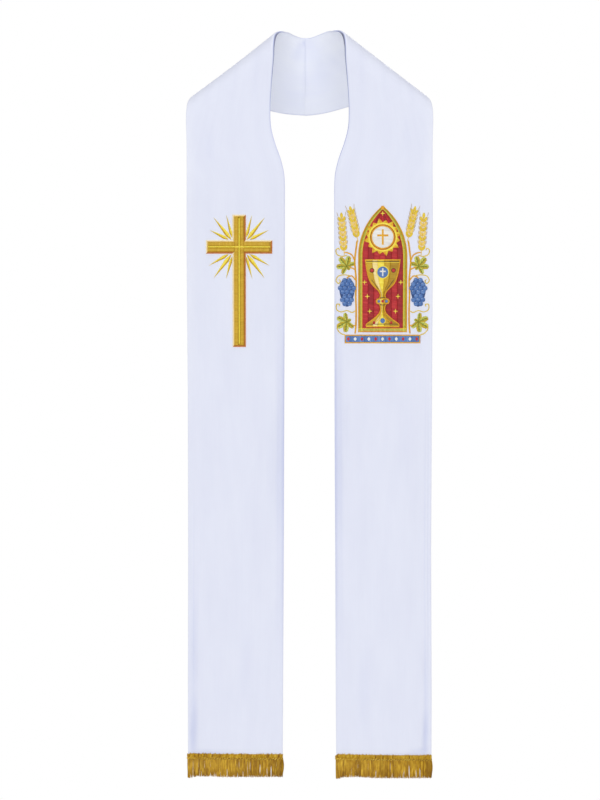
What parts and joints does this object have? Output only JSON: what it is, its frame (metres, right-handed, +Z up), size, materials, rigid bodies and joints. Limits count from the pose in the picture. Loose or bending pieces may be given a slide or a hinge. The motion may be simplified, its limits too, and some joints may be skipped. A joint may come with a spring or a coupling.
{
  "type": "clerical stole",
  "caption": "Worn clerical stole: lined white band round the neck with two long front panels, a rayed gold cross, an embroidered chalice panel and gold fringed hems.",
  "frame": {"origin": "at the nape, on the neck edge midway between the shoulders, where the cloth rests on the back of the neck; the seam lies 7 mm to the wearer's right of it", "axes": "+Z up, the front panels face -Y, +X is the wearer's left"},
  "size_m": [0.4055, 0.1697, 1.2304],
  "materials": {
    "face_cloth": "smooth bluish white satin-faced cloth with a soft sheen",
    "lining_cloth": "thin smooth lining, slightly greyer",
    "gold_cord": "twisted ochre gold rayon cord and braid",
    "gold_thread": "raised satin stitch in ochre gold thread",
    "yellow_thread": "satin stitch in bright yellow gold thread",
    "white_thread": "satin stitch in off-white thread",
    "green_thread": "satin stitch in yellow-green thread",
    "red_thread": "satin stitch in red thread",
    "blue_thread": "satin stitch in blue thread"
  },
  "bodies": {
    "root": {"shell.right": "face_cloth", "shell.left": "face_cloth", "lining.right": "lining_cloth", "lining.left": "lining_cloth", "fringe.right": "gold_cord", "fringe.left": "gold_cord", "cross": "gold_thread", "ray.01": "yellow_thread", "ray.02": "yellow_thread", "ray.03": "yellow_thread", "ray.04": "yellow_thread", "ray.05": "yellow_thread", "ray.06": "yellow_thread", "ray.07": "yellow_thread", "ray.08": "yellow_thread", "ray.09": "yellow_thread", "ray.10": "yellow_thread", "ray.11": "yellow_thread", "ray.12": "yellow_thread", "arch": "red_thread", "chalice": "gold_thread", "host": "white_thread", "halo": "yellow_thread", "leaf.upper.1": "green_thread", "leaf.upper.2": "green_thread", "leaf.lower.1": "green_thread", "leaf.lower.2": "green_thread", "grapes.1": "blue_thread", "grapes.2": "blue_thread", "wheat.1": "yellow_thread", "wheat.2": "yellow_thread", "wheat.3": "yellow_thread", "wheat.4": "yellow_thread", "ribbon": "blue_thread"}
  },
  "joints": []
}
